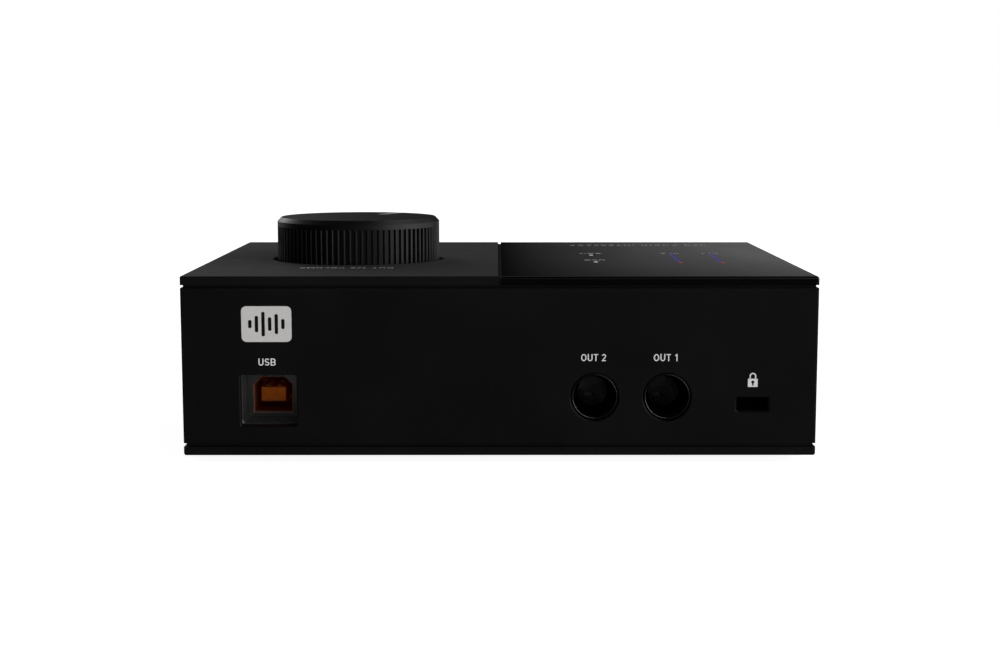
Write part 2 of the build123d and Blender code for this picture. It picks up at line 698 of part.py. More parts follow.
def volume_pointer(slack=0.0):
    """White inlay on the knob's top, running out over its chamfer, at the low end of the travel."""
    outer = VOLUME_RADIUS - RIM_CHAMFER
    bar = block(
        -POINTER_WIDTH / 2 - slack, POINTER_WIDTH / 2 + slack,
        -outer, -outer + POINTER_LENGTH + slack, VOLUME_TOP - POINTER_DEPTH - slack, VOLUME_TOP,
    )
    return Pos(VOLUME_X, VOLUME_Y, 0) * Rot(0, 0, POINTER_TURN) * bar


def volume_knob():
    """Large knob: ribbed skirt, plain band, chamfered rim, and a hub on the shaft."""
    knob = post(VOLUME_X, VOLUME_Y, KNOB_BOTTOM, VOLUME_TOP, VOLUME_RADIUS)
    knob = chamfer(at_level(knob, VOLUME_TOP), RIM_CHAMFER)
    grooves = Pos(VOLUME_X, VOLUME_Y, (KNOB_BOTTOM + RIB_TOP) / 2) * PolarLocations(
        VOLUME_RADIUS, VOLUME_RIBS, RIB_START
    )
    tall = RIB_TOP - KNOB_BOTTOM
    knob -= grooves * Box(2 * RIB_DEPTH, RIB_GROOVE, tall)
    flare = math.sqrt(2) * (RIB_GROOVE / 2 + RIB_BEVEL)
    knob -= grooves * Box(flare, flare, tall).rotate(Axis.Z, 45)
    knob -= post(VOLUME_X, VOLUME_Y, KNOB_BOTTOM, VOLUME_TOP - 2.6, VOLUME_RADIUS - 2.6)
    hub_bottom = WELL_FLOOR + 3.0
    knob += post(VOLUME_X, VOLUME_Y, hub_bottom, VOLUME_TOP - 2.6, 6.0)
    bore = post(VOLUME_X, VOLUME_Y, hub_bottom, VOLUME_TOP - 3.1, SHAFT_RADIUS + 0.03)
    bore -= Pos(0, 0.03, 0) * flat_cut(hub_bottom, VOLUME_TOP)
    knob -= bore
    return knob - volume_pointer(0.02)


def small_pot():
    """Rotary control on the Y axis, with the panel's face at Y = 0 and its shaft towards -Y."""
    body = block(-4.8, 4.8, WALL + 1.0, FRONT_BOARD_Y - FRONT, -6.5, 4.8)
    return body - rod(0, 0, WALL + 1.0, 7.4, SHAFT_RADIUS + SHAFT_SLACK)


def small_shaft():
    return rod(0, 0, -KNOB_REACH + 1.2, 7.2, SHAFT_RADIUS) - block(-4, 4, -KNOB_REACH, 0.3, FLAT_OFFSET, 4)


def small_knob():
    """Small fluted knob on the Y axis with an engraved pointer at the top."""
    face = -KNOB_REACH
    knob = rod(0, 0, face, -0.3, SMALL_KNOB_RADIUS)
    knob = chamfer(at_depth(knob, face), 0.5)
    flutes = Pos(0, -2.6, 0) * Rot(90, 0, 0) * PolarLocations(SMALL_KNOB_RADIUS, SMALL_KNOB_RIBS)
    knob -= flutes * Box(0.5, 0.5, 3.8)
    bore = rod(0, 0, face + 1.1, -0.3, SHAFT_RADIUS + 0.03)
    bore -= block(-4, 4, face, 0, FLAT_OFFSET + 0.03, 4)
    knob -= bore
    return knob - block(-0.35, 0.35, face, face + 0.25, 1.6, SMALL_KNOB_RADIUS)


def place_knob(x, shape, turn=0.0):
    return Pos(x, FRONT, SMALL_KNOB_Z) * Rot(0, turn, 0) * shape


def switch():
    """Push switch on the main board, with its plunger hole towards -Y and the panel's face at Y = 0."""
    body = block(-4.2, 4.2, 5.1, 13.5, MAIN_TOP - BUTTON_Z, 3.2)
    return body - prism(0, 0, 5.1, 12.0, 3.3, 2.3)


def button():
    """Push button with a retaining flange behind the panel and a stem into its switch."""
    cap = prism(0, 0, -BUTTON_REACH, WALL + 0.2, *BUTTON_SIZE, 0.5)
    cap = chamfer(at_depth(cap, -BUTTON_REACH), 0.3)
    cap += prism(0, 0, WALL + 0.2, WALL + 1.0, BUTTON_SIZE[0] + 1.6, BUTTON_SIZE[1] + 1.4, 0.5)
    return cap + prism(0, 0, WALL + 1.0, 9.5, 3.0, 2.0)


def place_button(x, shape):
    return Pos(x, FRONT, BUTTON_Z) * shape


# ---------------------------------------------------------------- output


def main():
    os.makedirs("parts", exist_ok=True)
    save("bottom_plate", bottom_plate())
    save("rubber_feet", *rubber_feet())
    save("case_screws", *case_screws())
    save("housing", housing())
    save("volume_cover", volume_cover())
    save("display_cover", display_cover())

    save("main_board", main_board())
    save("top_board", top_board())
    save("front_board", front_board())
    save("board_screws", *board_screws())
    save("board_connectors", *board_connectors())
    save("ribbon_cable", ribbon_cable())
    save("board_chips", *board_chips())
    save("board_capacitors", *board_capacitors())
    save("boost_coil", boost_coil())
    save("board_leds", *board_leds())

    for number, x in enumerate(METER_X, 1):
        save(f"in_{number}_signal_lights", *light_guides(meter_places(x)[1:]))
    save("clip_lights", *light_guides([meter_places(x)[0] for x in METER_X]))
    save("status_lights", *light_guides(status_places()))

    save("usb_surround", usb_surround())
    save("usb_shell", usb_shell())
    save("usb_insulator", usb_insulator())
    save("usb_contacts", *usb_contacts())
    save("lock_bracket", lock_bracket())
    for number, x in enumerate(OUT_JACK_X, 1):
        save(f"out_{number}_jack", place_rear(x, jack()))
        save(f"out_{number}_contacts", *[place_rear(x, s) for s in jack_contacts()])
    save("phones_jack", place_front(PHONES_X, jack()))
    save("phones_contacts", *[place_front(PHONES_X, s) for s in jack_contacts()])
    for number, x in enumerate(SOCKET_X, 1):
        save(f"input_{number}_socket", place_socket(x, input_socket()))
        save(f"input_{number}_contacts", *[place_socket(x, s) for s in input_contacts()])

    save("volume_pot", volume_pot())
    save("volume_pot_nut", volume_pot_nut())
    save("volume_shaft", volume_shaft())
    save("volume_knob", volume_knob())
    save("volume_pointer", volume_pointer())

    # The gain and headphone knobs rest at the low end of their travel, the mix knob in the middle.
    for name, x, turn in zip(("gain_1", "gain_2", "mix", "phones"), SMALL_KNOB_X, (-150, -150, 0, -150)):
        save(f"{name}_pot", place_knob(x, small_pot()))
        save(f"{name}_shaft", place_knob(x, small_shaft(), turn))
        save(f"{name}_knob", place_knob(x, small_knob(), turn))
    for name, x in zip(("line_1", "line_2", "phantom", "mono"), BUTTON_X):
        save(f"{name}_switch", place_button(x, switch()))
        save(f"{name}_button", place_button(x, button()))


main()
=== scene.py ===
import json
import math

import bpy
from mathutils import Matrix, Vector


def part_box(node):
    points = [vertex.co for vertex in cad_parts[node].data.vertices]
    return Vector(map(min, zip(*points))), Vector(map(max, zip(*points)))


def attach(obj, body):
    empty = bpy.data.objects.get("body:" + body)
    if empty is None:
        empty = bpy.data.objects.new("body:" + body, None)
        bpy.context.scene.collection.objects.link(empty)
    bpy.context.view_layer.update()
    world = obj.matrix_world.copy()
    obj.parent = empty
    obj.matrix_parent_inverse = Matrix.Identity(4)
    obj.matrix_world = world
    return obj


# Looks of a desktop USB audio interface: moulded and glossy black plastics, a satin ribbed knob, lit
# indicator windows, an orange-lined USB port, and thin printed legends on the covers and panels.
# Frame: +X right and +Y to the rear for someone facing the front panel, +Z up, in metres.

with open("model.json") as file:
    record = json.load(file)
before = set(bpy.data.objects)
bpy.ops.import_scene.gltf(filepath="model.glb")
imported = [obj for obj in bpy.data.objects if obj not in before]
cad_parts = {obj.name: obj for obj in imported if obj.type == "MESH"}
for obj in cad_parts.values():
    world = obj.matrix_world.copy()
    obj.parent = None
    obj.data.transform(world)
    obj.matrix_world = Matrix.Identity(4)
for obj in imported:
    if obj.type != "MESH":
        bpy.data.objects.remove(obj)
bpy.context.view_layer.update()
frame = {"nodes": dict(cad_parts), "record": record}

MM = 0.001
PRINT_THICK = 0.02 * MM
CHASSIS = "chassis"

housing_low, housing_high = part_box("housing")
REAR_Y = housing_high[1]
FRONT_Y = housing_low[1]
TOP_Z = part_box("volume_cover")[1][2]


# ---------------------------------------------------------------- node helpers


def node(tree, kind, **inputs):
    """Adds a shader node and sets its inputs by name: a socket links, anything else is a value."""
    made = tree.nodes.new(kind)
    for key, value in inputs.items():
        socket = made.inputs[key.replace("_", " ")]
        if isinstance(value, bpy.types.NodeSocket):
            tree.links.new(value, socket)
        else:
            socket.default_value = value
    return made


def place(tree):
    """Position on the object, in metres."""
    return tree.nodes.new("ShaderNodeTexCoord").outputs["Object"]


def noise(tree, scale, detail=2.0, vector=None):
    """Soft noise from 0 to 1, over the object's own position unless another vector is given."""
    made = node(tree, "ShaderNodeTexNoise", Scale=scale, Detail=detail, Vector=vector or place(tree))
    return made.outputs["Fac"]


def stretched(tree, scale):
    """Position with a different scale along each axis."""
    return node(tree, "ShaderNodeMapping", Scale=scale, Vector=place(tree)).outputs["Vector"]


def spread(tree, value, low, high, start=0.3, end=0.7):
    """Maps a value from one range, where most of the noise lies unless it is given, onto another."""
    made = node(tree, "ShaderNodeMapRange", Value=value)
    for key, number in (("From Min", start), ("From Max", end), ("To Min", low), ("To Max", high)):
        made.inputs[key].default_value = number
    return made.outputs["Result"]


def blend_colors(tree, factor, first, second):
    """Goes from one colour to another as the factor goes from 0 to 1."""
    made = tree.nodes.new("ShaderNodeMix")
    made.data_type = "RGBA"
    tree.links.new(factor, made.inputs["Factor"])
    made.inputs["A"].default_value = (*first, 1.0)
    made.inputs["B"].default_value = (*second, 1.0)
    return made.outputs["Result"]


def bump(tree, height, strength, depth, under=None):
    """Relief from a height of 0 to 1, its depth in metres, on top of another relief if one is given."""
    made = node(tree, "ShaderNodeBump", Strength=strength, Distance=depth, Height=height)
    if under is not None:
        tree.links.new(under, made.inputs["Normal"])
    return made.outputs["Normal"]


def material(name, **values):
    """A new material with uniform values on its shader, and its tree and shader for what varies."""
    made = bpy.data.materials.new(name)
    made.use_nodes = True
    shader = made.node_tree.nodes["Principled BSDF"]
    for key, value in values.items():
        shader.inputs[key.replace("_", " ")].default_value = value
    return made, made.node_tree, shader


def wire(tree, shader, **sockets):
    """Links sockets to the shader's inputs by name."""
    for key, socket in sockets.items():
        tree.links.new(socket, shader.inputs[key.replace("_", " ")])


# ---------------------------------------------------------------- materials


def moulded(name, dark, light, rough, grain_scale=3200.0, grain=0.18, specular=0.5, velvet=0.0):
    """Matte moulded plastic: spark-eroded grain, faint mottling and uneven gloss."""
    made, tree, shader = material(
        name, Specular_IOR_Level=specular, Sheen_Weight=velvet, Sheen_Roughness=0.25
    )
    mottle = noise(tree, 45.0, 4.0)
    fine = noise(tree, grain_scale, 2.0)
    pits = noise(tree, grain_scale * 0.35, 1.0)
    under = bump(tree, pits, grain * 0.6, 0.03 * MM)
    wire(
        tree, shader,
        Base_Color=blend_colors(tree, spread(tree, mottle, 0.0, 1.0), dark, light),
        Roughness=spread(tree, noise(tree, 140.0, 5.0), rough[0], rough[1]),
        Normal=bump(tree, fine, grain, 0.02 * MM, under),
    )
    return made


def glossy_acrylic():
    """Polished black cover: mirror finish with faint wipe marks and hairline scratches."""
    made, tree, shader = material("glossy_acrylic", Specular_IOR_Level=0.5)
    wipes = noise(tree, 1.0, 5.0, stretched(tree, (35.0, 12.0, 35.0)))
    hairs = noise(tree, 1.0, 2.0, stretched(tree, (5200.0, 90.0, 90.0)))
    wire(
        tree, shader,
        Base_Color=blend_colors(tree, wipes, (0.0016, 0.0016, 0.0018), (0.0026, 0.0026, 0.0028)),
        Roughness=spread(tree, wipes, 0.06, 0.12),
        Normal=bump(tree, hairs, 0.02, 0.004 * MM),
    )
    return made


def metal(name, color, rough, brush=(60.0, 60.0, 2400.0), depth=0.006):
    """Metal with a brushed or turned grain along one direction, or an even grain if the brush is even."""
    made, tree, shader = material(name, Metallic=1.0)
    lines = noise(tree, 1.0, 3.0, stretched(tree, brush))
    stain = noise(tree, 300.0, 4.0)
    darker = tuple(c * 0.8 for c in color)
    wire(
        tree, shader,
        Base_Color=blend_colors(tree, spread(tree, stain, 0.0, 1.0), darker, color),
        Roughness=spread(tree, lines, rough[0], rough[1]),
        Normal=bump(tree, lines, 0.15, depth * MM),
    )
    return made


def circuit_board():
    """Solder mask over a fine pattern of tracks and vias."""
    made, tree, shader = material("circuit_board", Specular_IOR_Level=0.5)
    tracks = tree.nodes.new("ShaderNodeTexVoronoi")
    tracks.feature = "DISTANCE_TO_EDGE"
    tracks.distance = "EUCLIDEAN"
    tracks.inputs["Scale"].default_value = 320.0
    tracks.inputs["Randomness"].default_value = 0.55
    tree.links.new(place(tree), tracks.inputs["Vector"])
    line = spread(tree, tracks.outputs["Distance"], 1.0, 0.0, 0.04, 0.09)
    wire(
        tree, shader,
        Base_Color=blend_colors(tree, line, (0.006, 0.05, 0.022), (0.02, 0.12, 0.045)),
        Roughness=spread(tree, noise(tree, 500.0), 0.25, 0.4),
        Normal=bump(tree, line, 0.3, 0.02 * MM),
    )
    return made


def lit(name, color, glow, strength):
    """Clear light guide with a brighter core, as lit from below."""
    made, tree, shader = material(name, Roughness=0.3, Emission_Strength=strength)
    cloud = noise(tree, 1800.0, 3.0)
    dim = tuple(c * 0.7 for c in glow)
    wire(
        tree, shader,
        Base_Color=blend_colors(tree, cloud, color, glow),
        Emission_Color=blend_colors(tree, spread(tree, cloud, 0.0, 1.0), dim, glow),
    )
    return made


def printed(name, color):
    """Silk-screened ink: slightly uneven cover."""
    made, tree, shader = material(name, Specular_IOR_Level=0.3)
    speck = noise(tree, 6000.0, 2.0)
    thin = tuple(c * 0.82 for c in color)
    wire(
        tree, shader,
        Base_Color=blend_colors(tree, spread(tree, speck, 0.0, 1.0), thin, color),
        Roughness=spread(tree, speck, 0.5, 0.7),
    )
    return made


def port_plastic():
    """Orange-brown plastic of the port lining, with a faint swirl."""
    made, tree, shader = material("port_plastic", Specular_IOR_Level=0.05)
    swirl = noise(tree, 700.0, 4.0)
    deep, pale = (0.34, 0.07, 0.002), (0.44, 0.095, 0.003)
    wire(
        tree, shader,
        Base_Color=blend_colors(tree, spread(tree, swirl, 0.0, 1.0), deep, pale),
        Roughness=spread(tree, swirl, 0.35, 0.5),
        Normal=bump(tree, noise(tree, 5000.0), 0.1, 0.01 * MM),
    )
    return made


def grey(value):
    return (value, value, value)


BLACK = (0.0028, 0.0028, 0.0029)
BLACK_WORN = (0.0042, 0.0042, 0.0043)
EVEN = (900.0, 900.0, 900.0)  # a metal's grain without a direction

finishes = {
    "housing": moulded("housing_plastic", BLACK, BLACK_WORN, (0.37, 0.41), specular=0.22),
    "matte_cover": moulded(
        "matte_cover_plastic", BLACK, BLACK_WORN, (0.58, 0.63), specular=0.2, velvet=0.06
    ),
    "gloss_cover": glossy_acrylic(),
    "base": moulded("base_plastic", BLACK, BLACK_WORN, (0.42, 0.5), specular=0.22),
    "foot_rubber": moulded("foot_rubber", grey(0.012), grey(0.02), (0.75, 0.9), 1500.0, 0.4),
    "volume_knob": moulded("knob_plastic", BLACK, BLACK_WORN, (0.36, 0.4), 4200.0, 0.12),
    "pointer": printed("pointer_ink", (0.95, 0.95, 0.94)),
    "small_knob": moulded("small_knob_plastic", BLACK, BLACK_WORN, (0.36, 0.46), 4200.0, 0.12),
    "button": moulded(
        "button_plastic", (0.012, 0.012, 0.013), (0.018, 0.018, 0.019), (0.4, 0.5), 4200.0, 0.1
    ),
    "screw": metal("black_oxide", (0.07, 0.07, 0.075), (0.35, 0.5), EVEN),
    "circuit_board": circuit_board(),
    "board_plug": moulded("plug_nylon", (0.5, 0.46, 0.36), (0.58, 0.54, 0.44), (0.45, 0.6)),
    "ribbon": moulded("ribbon_vinyl", (0.28, 0.28, 0.29), (0.34, 0.34, 0.35), (0.35, 0.5), 1200.0, 0.2),
    "chip": moulded("chip_epoxy", grey(0.012), grey(0.02), (0.55, 0.7)),
    "can": metal("can_aluminium", (0.75, 0.75, 0.77), (0.25, 0.4)),
    "ferrite": moulded("ferrite", (0.04, 0.04, 0.043), (0.06, 0.06, 0.063), (0.6, 0.8), 900.0, 0.4),
    "lamp": moulded("lamp_resin", (0.7, 0.68, 0.5), (0.8, 0.78, 0.6), (0.2, 0.3)),
    "light_blue": lit("light_blue", (0.03, 0.03, 0.2), (0.05, 0.05, 0.7), 0.8),
    "light_red": lit("light_red", (0.2, 0.01, 0.01), (0.7, 0.02, 0.015), 0.8),
    "light_white": lit("light_white", grey(0.4), grey(0.8), 0.8),
    "port_surround": moulded("surround_plastic", grey(0.05), grey(0.06), (0.16, 0.22), specular=1.0),
    "shield": metal("tin_plate", (0.86, 0.85, 0.82), (0.4, 0.5)),
    "port_lining": port_plastic(),
    "contact": metal("gold_flash", (0.85, 0.62, 0.28), (0.2, 0.35)),
    # Painted shade: the steel inside the lock slot is made near black so that the slot reads as shaded
    # inside.
    "lock_steel": metal("slot_steel_painted_shade", grey(0.012), (0.5, 0.65), (2400.0, 60.0, 60.0)),
    "jack_body": metal("jack_chrome", grey(0.15), (0.18, 0.26), EVEN),
    "socket_body": moulded("socket_plastic", grey(0.006), grey(0.009), (0.35, 0.45)),
    "pot_body": moulded("pot_resin", (0.03, 0.07, 0.045), (0.04, 0.09, 0.06), (0.4, 0.55)),
    "nut": metal("nickel", (0.7, 0.68, 0.64), (0.15, 0.3), EVEN),
    "shaft": metal("turned_aluminium", (0.65, 0.65, 0.66), (0.25, 0.4)),
    "switch_body": moulded("switch_plastic", grey(0.02), grey(0.03), (0.4, 0.55)),
}

for part in frame["record"]["subparts"]:
    shown = frame["nodes"][part["node"]]
    shown.data.materials.clear()
    shown.data.materials.append(finishes[part["material_slot"]])

LABEL_INK = printed("label_ink", (0.82, 0.81, 0.80))
TOP_INK = printed("top_ink", (0.92, 0.92, 0.91))
BADGE_INK = printed("badge_ink", (0.65, 0.64, 0.63))


# ---------------------------------------------------------------- prints

# Cap heights of the small labels.
REAR_CAP = 1.6 * MM
TOP_CAP = 1.8 * MM
KNOB_CAP = 1.5 * MM
BUTTON_CAP = 1.3 * MM
SOCKET_CAP = 1.8 * MM

# How far below the middle of its control or socket a label on the front stands.
KNOB_DROP = 8.9 * MM
BUTTON_DROP = 4.2 * MM
SOCKET_DROP = 14.6 * MM

# Ring of dots round each small knob.
SCALE_RADIUS = 7.4 * MM
SCALE_DOT = 0.22 * MM
SCALE_TURNS = range(-150, 151, 30)

# How a print lies on its face: its own right, up and outward directions.
ON_TOP = (Vector((1, 0, 0)), Vector((0, 1, 0)), Vector((0, 0, 1)))
ON_REAR = (Vector((-1, 0, 0)), Vector((0, 0, 1)), Vector((0, 1, 0)))
ON_FRONT = (Vector((1, 0, 0)), Vector((0, 0, 1)), Vector((0, -1, 0)))


def add_print(name, mesh, centre, facing, ink, body=CHASSIS):
    """Lays a flat mesh, modelled in its own X and Y with its back at Z 0, on a face of the object."""
    right, up, out = facing
    turn = Matrix((right, up, out)).transposed().to_4x4()
    mesh.transform(Matrix.Translation(centre) @ turn)
    mesh.materials.clear()
    mesh.materials.append(ink)
    piece = bpy.data.objects.new(name, mesh)
    bpy.context.collection.objects.link(piece)
    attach(piece, body)
    return piece


def mesh_of(curve, name):
    """The mesh of a flat curve, with its back at Z 0 and the thickness of a print."""
    holder = bpy.data.objects.new(name + "_outline", curve)
    bpy.context.collection.objects.link(holder)
    bpy.context.view_layer.update()
    mesh = bpy.data.meshes.new_from_object(holder.evaluated_get(bpy.context.evaluated_depsgraph_get()))
    mesh.name = name
    bpy.data.objects.remove(holder)
    bpy.data.curves.remove(curve)
    low = min(v.co.z for v in mesh.vertices)
    high = max(v.co.z for v in mesh.vertices)
    for v in mesh.vertices:
        v.co.z = (v.co.z - low) / (high - low) * PRINT_THICK
    return mesh


def arc(x, y, radius, start, end, steps=8):
    """Points along a circular arc, with its angles in degrees."""
    angles = [math.radians(start + (end - start) * i / steps) for i in range(steps + 1)]
    return [(x + radius * math.cos(a), y + radius * math.sin(a)) for a in angles]


def bow(x, y, across, up, start, end):
    """Points along part of an ellipse, with its angles in degrees."""
    return [(x + across * (px - x), y + up * (py - y)) for px, py in arc(x, y, 1.0, start, end, 14)]


# Half the width of a letter's stroke, in units of the cap height.
HALF_STROKE = 0.068

# By how much each stroke is thicker than the one before it, as a share of a print's thickness, and after how
# many strokes that starts again. So the tops of two crossing strokes don't lie in one plane.
STROKE_STEP = 0.02
STROKE_STEPS = 5

STEM = [(0.12, 0.0), (0.12, 1.0)]
TOP_BOWL = [(0.12, 0.925)] + bow(0.36, 0.7, 0.2, 0.225, 90, -90) + [(0.12, 0.475)]

# Plain capitals drawn with lines: width and strokes of each, in units of the cap height.
GLYPHS = {
    " ": (0.25, []),
    "A": (0.70, [[(0.07, 0.0), (0.35, 0.90), (0.63, 0.0)], [(0.16, 0.27), (0.54, 0.27)]]),
    "B": (0.66, [STEM, TOP_BOWL, [(0.12, 0.475)] + bow(0.37, 0.275, 0.21, 0.2, 90, -90) + [(0.12, 0.075)]]),
    "C": (0.68, [bow(0.35, 0.5, 0.26, 0.425, 40, 320)]),
    "D": (0.68, [STEM, [(0.12, 0.925)] + bow(0.32, 0.5, 0.27, 0.425, 90, -90) + [(0.12, 0.075)]]),
    "E": (0.58, [STEM] + [[(0.12, y), (0.54, y)] for y in (0.075, 0.5, 0.925)]),
    "F": (0.56, [STEM] + [[(0.12, y), (0.52, y)] for y in (0.48, 0.925)]),
    "G": (0.70, [bow(0.35, 0.5, 0.26, 0.425, 40, 325) + [(0.6, 0.46), (0.37, 0.46)]]),
    "H": (0.72, [STEM, [(0.6, 0.0), (0.6, 1.0)], [(0.12, 0.5), (0.6, 0.5)]]),
    "I": (0.26, [[(0.13, 0.0), (0.13, 1.0)]]),
    "L": (0.54, [STEM, [(0.12, 0.075), (0.52, 0.075)]]),
    "M": (0.88, [STEM, [(0.12, 0.95), (0.44, 0.15), (0.76, 0.95)], [(0.76, 0.0), (0.76, 1.0)]]),
    "N": (0.72, [STEM, [(0.12, 0.9), (0.6, 0.1)], [(0.6, 0.0), (0.6, 1.0)]]),
    "O": (0.72, [bow(0.36, 0.5, 0.27, 0.425, 0, 360)]),
    "P": (0.62, [STEM, TOP_BOWL]),
    "R": (0.64, [STEM, TOP_BOWL, [(0.36, 0.475), (0.58, 0.0)]]),
    "S": (0.62, [bow(0.31, 0.7, 0.2, 0.225, 20, 270) + bow(0.31, 0.275, 0.21, 0.2, 90, -160)]),
    "T": (0.60, [[(0.02, 0.925), (0.58, 0.925)], [(0.3, 0.0), (0.3, 1.0)]]),
    "U": (0.70, [[(0.12, 1.0)] + bow(0.35, 0.33, 0.23, 0.255, 180, 360) + [(0.58, 1.0)]]),
    "V": (0.68, [[(0.07, 1.0), (0.34, 0.10), (0.61, 1.0)]]),
    "X": (0.66, [[(0.07, 0.0), (0.59, 1.0)], [(0.07, 1.0), (0.59, 0.0)]]),
    "/": (0.42, [[(0.04, -0.05), (0.38, 1.0)]]),
    "1": (0.50, [[(0.34, 0.0), (0.34, 1.0)], [(0.34, 0.9), (0.1, 0.76)]]),
    "2": (0.60, [bow(0.3, 0.7, 0.2, 0.225, 165, -35) + [(0.12, 0.075), (0.54, 0.075)]]),
    "4": (0.62, [[(0.43, 0.0), (0.43, 1.0)], [(0.41, 0.92), (0.1, 0.29), (0.6, 0.29)]]),
    "8": (0.62, [bow(0.31, 0.71, 0.18, 0.215, 0, 360), bow(0.31, 0.285, 0.21, 0.21, 0, 360)]),
}


def borders(points):
    """Left and right borders of a line of even width along some points, with mitred corners."""
    runs = [Vector(b) - Vector(a) for a, b in zip(points, points[1:])]
    normals = [Vector((-run.y, run.x)).normalized() for run in runs]
    closed = (Vector(points[0]) - Vector(points[-1])).length < 0.001
    before = [normals[-1] if closed else normals[0]] + normals
    after = normals + [normals[0] if closed else normals[-1]]
    sides = []
    for point, first, second in zip(points, before, after):
        miter = (first + second) / max(1.0 + first.dot(second), 0.4)
        sides.append((Vector(point) + HALF_STROKE * miter, Vector(point) - HALF_STROKE * miter))
    return sides


def add_stroke(points, verts, faces, shift, top):
    """Adds a flat bar along some points, with its back at Z 0."""
    start = len(verts)
    sides = borders(points)
    for left, right in sides:
        for side, z in ((left, 0), (left, top), (right, top), (right, 0)):
            verts.append((side.x + shift, side.y, z))
    for i in range(len(sides) - 1):
        a = start + 4 * i
        faces += [(a + k, a + (k + 1) % 4, a + 4 + (k + 1) % 4, a + 4 + k) for k in range(4)]
    faces += [(start + 3, start + 2, start + 1, start), tuple(len(verts) - 4 + k for k in range(4))]


def words(name, text, width, cap, centre, facing, ink, gap=0.06):
    """Printed capitals, as wide and as tall as given, centred on a point. The gap between two letters is
    in units of the cap height before they are stretched to the width."""
    verts, faces, shift, count = [], [], 0.0, 0
    for letter in text:
        advance, strokes = GLYPHS[letter]
        for points in strokes:
            thick = PRINT_THICK * (1 + STROKE_STEP * (count % STROKE_STEPS))
            add_stroke(points, verts, faces, shift, thick)
            count += 1
        shift += advance + gap
    left, right = min(v[0] for v in verts), max(v[0] for v in verts)
    across = width / (right - left)
    flat = [((x - (left + right) / 2) * across, (y - 0.5) * cap, z) for x, y, z in verts]
    mesh = bpy.data.meshes.new(name)
    mesh.from_pydata(flat, [], faces)
    return add_print(name, mesh, centre, facing, ink)


def emblem(name, outlines, centre, facing, ink):
    """A flat shape from closed outlines, in which an outline inside another is a hole."""
    curve = bpy.data.curves.new(name, "CURVE")
    curve.dimensions = "2D"
    curve.fill_mode = "BOTH"
    curve.extrude = 0.01  # any thickness does, because mesh_of makes it that of a print
    for outline in outlines:
        spline = curve.splines.new("POLY")
        spline.points.add(len(outline) - 1)
        for point, (x, y) in zip(spline.points, outline):
            point.co = (x, y, 0, 1)
        spline.use_cyclic_u = True
    return add_print(name, mesh_of(curve, name), centre, facing, ink)


def rounded(x, y, width, height, radius):
    """Outline of a rounded rectangle."""
    half_w, half_h = width / 2 - radius, height / 2 - radius
    points = []
    for i, (sx, sy) in enumerate(((1, 1), (-1, 1), (-1, -1), (1, -1))):
        points += arc(x + sx * half_w, y + sy * half_h, radius, 90 * i, 90 * i + 90, 5)
    return points


def badge():
    """Plain rounded plate with a row of level bars."""
    width, height = 11.0 * MM, 7.9 * MM
    outlines = [rounded(0, 0, width, height, 1.1 * MM)]
    for i, tall in enumerate((1.8, 3.6, 5.4, 3.0, 4.4, 2.2)):
        x = (i - 2.5) * 1.45 * MM
        outlines.append(rounded(x, 0, 0.75 * MM, tall * MM, 0.3 * MM))
    emblem("badge", outlines, (51.15 * MM, REAR_Y, 31.2 * MM), ON_REAR, BADGE_INK)


def padlock():
    """Padlock sign with a plain keyhole."""
    body_w, body_h = 2.15 * MM, 1.85 * MM
    outer, inner = 0.75 * MM, 0.45 * MM
    top = body_h / 2
    shackle = [(outer, top - 0.1 * MM)] + arc(0, top + 0.55 * MM, outer, 0, 180, 10)
    shackle += [(-outer, top - 0.1 * MM), (-inner, top - 0.1 * MM)]
    shackle += arc(0, top + 0.55 * MM, inner, 180, 0, 10) + [(inner, top - 0.1 * MM)]
    centre = (-55.79 * MM, REAR_Y, 18.15 * MM)
    keyhole = arc(0, 0.15 * MM, 0.34 * MM, -60, 240, 12) + [(-0.17 * MM, -0.6 * MM), (0.17 * MM, -0.6 * MM)]
    body = rounded(0, 0, body_w, body_h, 0.12 * MM)
    emblem("padlock_body", [body, keyhole], centre, ON_REAR, LABEL_INK)
    emblem("padlock_shackle", [shackle], centre, ON_REAR, LABEL_INK)


def rear_prints():
    """Badge, padlock sign and the labels above the openings in the back."""
    badge()
    padlock()
    labels = (
        # name, text, then width, X and Z in millimetres
        ("rear_usb_label", "USB", 3.8, 51.15, 22.8),
        ("out_1_label", "OUT 1", 5.25, -36.5, 23.76),
        ("out_2_label", "OUT 2", 5.5, -20.65, 23.76),
    )
    for name, text, width, x, z in labels:
        words(name, text, width * MM, REAR_CAP, (x * MM, REAR_Y, z * MM), ON_REAR, LABEL_INK)


def top_prints():
    """Label of the volume knob, labels beside the lights, and the line that describes the device."""
    words(
        "volume_label", "OUT 1/2 VOLUME", 21.6 * MM, 1.9 * MM,
        (35.3 * MM, 33.2 * MM, TOP_Z), ON_TOP, TOP_INK, 0.12,
    )
    labels = (
        # name, text, then width, X and Y in millimetres
        ("in_1_label", "IN 1", 4.2, -53.85, -8.3),
        ("in_2_label", "IN 2", 4.7, -43.62, -8.3),
        ("phantom_label", "48V", 5.95, -23.3, -8.3),
        ("usb_light_label", "USB", 5.05, -23.2, 12.0),
    )
    for name, text, width, x, y in labels:
        words(name, text, width * MM, TOP_CAP, (x * MM, y * MM, TOP_Z), ON_TOP, TOP_INK)
    words(
        "description_line", "USB AUDIO INTERFACE", 36.95 * MM, 2.0 * MM,
        (-37.8 * MM, -36.0 * MM, TOP_Z), ON_TOP, TOP_INK, 0.25,
    )


def middle(name):
    """Centre of a CAD node's box."""
    low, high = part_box(name)
    return [(a + b) / 2 for a, b in zip(low, high)]


